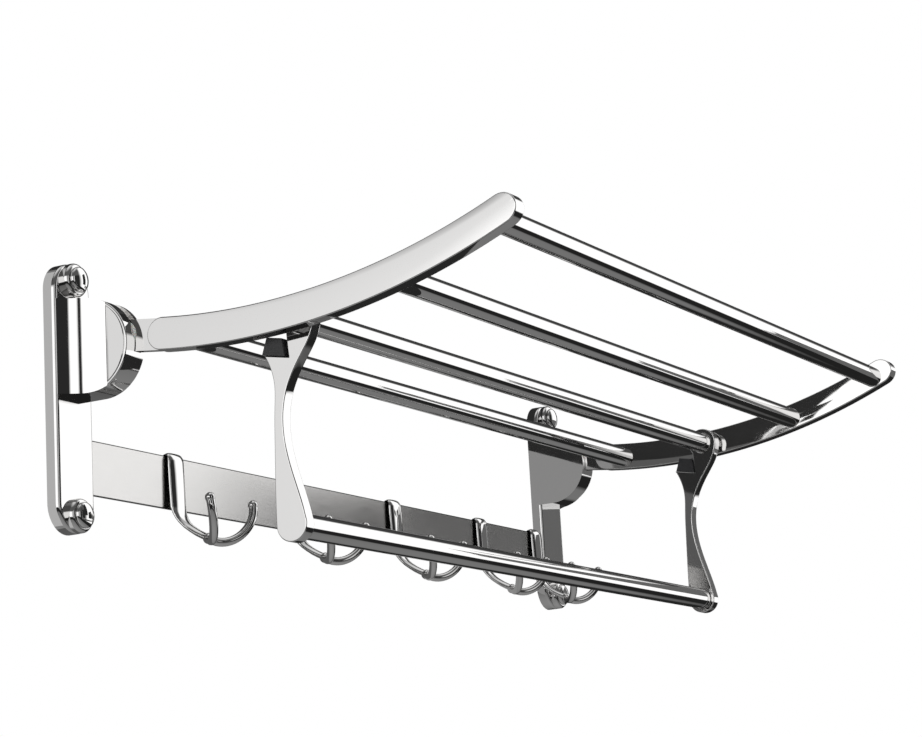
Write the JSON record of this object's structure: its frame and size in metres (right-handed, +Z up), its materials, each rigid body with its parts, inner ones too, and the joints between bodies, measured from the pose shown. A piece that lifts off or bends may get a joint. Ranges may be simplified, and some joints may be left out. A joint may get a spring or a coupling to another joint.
{
  "type": "folding towel rack",
  "caption": "Wall towel rack with a curved fold-up tube shelf on two hinged brackets, a hanging rail below and sliding double hooks on a strip.",
  "frame": {"origin": "on the wall plane, midway between the two wall brackets and midway between their upper and lower wall screws", "axes": "+Y into the wall, +X along the tubes to the right as seen from the room, +Z up; the shelf stands out towards -Y"},
  "size_m": [0.61, 0.2897, 0.1717],
  "materials": {
    "chrome": "polished chrome plating",
    "satin_steel": "satin brushed",
    "zinc_steel": "bright plated steel",
    "dark_plastic": "fine matte",
    "nylon": "natural nylon"
  },
  "bodies": {
    "wall_frame": {"hook_strip": "satin_steel", "left_bracket": "chrome", "left_hinge_cap": "satin_steel", "left_hinge_pin": "zinc_steel", "left_hinge_washers": "nylon", "left_lower_cap_base": "chrome", "left_lower_screw_cap": "chrome", "left_upper_cap_base": "chrome", "left_upper_screw_cap": "chrome", "right_bracket": "chrome", "right_hinge_cap": "satin_steel", "right_hinge_pin": "zinc_steel", "right_hinge_washers": "nylon", "right_lower_cap_base": "chrome", "right_lower_screw_cap": "chrome", "right_upper_cap_base": "chrome", "right_upper_screw_cap": "chrome", "strip_screws": "zinc_steel"},
    "shelf": {"left_arm": "chrome", "left_hanger": "chrome", "left_hanger_collar": "chrome", "left_hanger_lug": "dark_plastic", "left_hinge_tongue": "chrome", "left_lug_screw": "zinc_steel", "left_tongue_rivet": "zinc_steel", "rail_bushes": "nylon", "right_arm": "chrome", "right_hanger": "chrome", "right_hanger_collar": "chrome", "right_hanger_lug": "dark_plastic", "right_hinge_tongue": "chrome", "right_lug_screw": "zinc_steel", "right_tongue_rivet": "zinc_steel", "shelf_tube_1": "chrome", "shelf_tube_2": "chrome", "shelf_tube_3": "chrome", "shelf_tube_4": "chrome", "towel_rail": "chrome", "tube_bushes_1": "nylon", "tube_bushes_2": "nylon", "tube_bushes_3": "nylon", "tube_bushes_4": "nylon"},
    "hook_1": {"hook_1": "chrome"},
    "hook_2": {"hook_2": "chrome"},
    "hook_3": {"hook_3": "chrome"},
    "hook_4": {"hook_4": "chrome"},
    "hook_5": {"hook_5": "chrome"}
  },
  "joints": [
    {"name": "shelf_fold", "type": "hinge", "parent": "wall_frame", "child": "shelf", "pos_m": [0, -0.0376, 0.032], "axis": [-1, 0, 0], "range_deg": [0, 88]},
    {"name": "hook_1_slide", "type": "slide", "parent": "wall_frame", "child": "hook_1", "axis": [1, 0, 0], "range_m": [-0.07, 0.037]},
    {"name": "hook_2_slide", "type": "slide", "parent": "wall_frame", "child": "hook_2", "axis": [1, 0, 0], "range_m": [-0.037, 0.037]},
    {"name": "hook_3_slide", "type": "slide", "parent": "wall_frame", "child": "hook_3", "axis": [1, 0, 0], "range_m": [-0.037, 0.035]},
    {"name": "hook_4_slide", "type": "slide", "parent": "wall_frame", "child": "hook_4", "axis": [1, 0, 0], "range_m": [-0.034, 0.016]},
    {"name": "hook_5_slide", "type": "slide", "parent": "wall_frame", "child": "hook_5", "axis": [1, 0, 0], "range_m": [-0.016, 0.0005]}
  ]
}
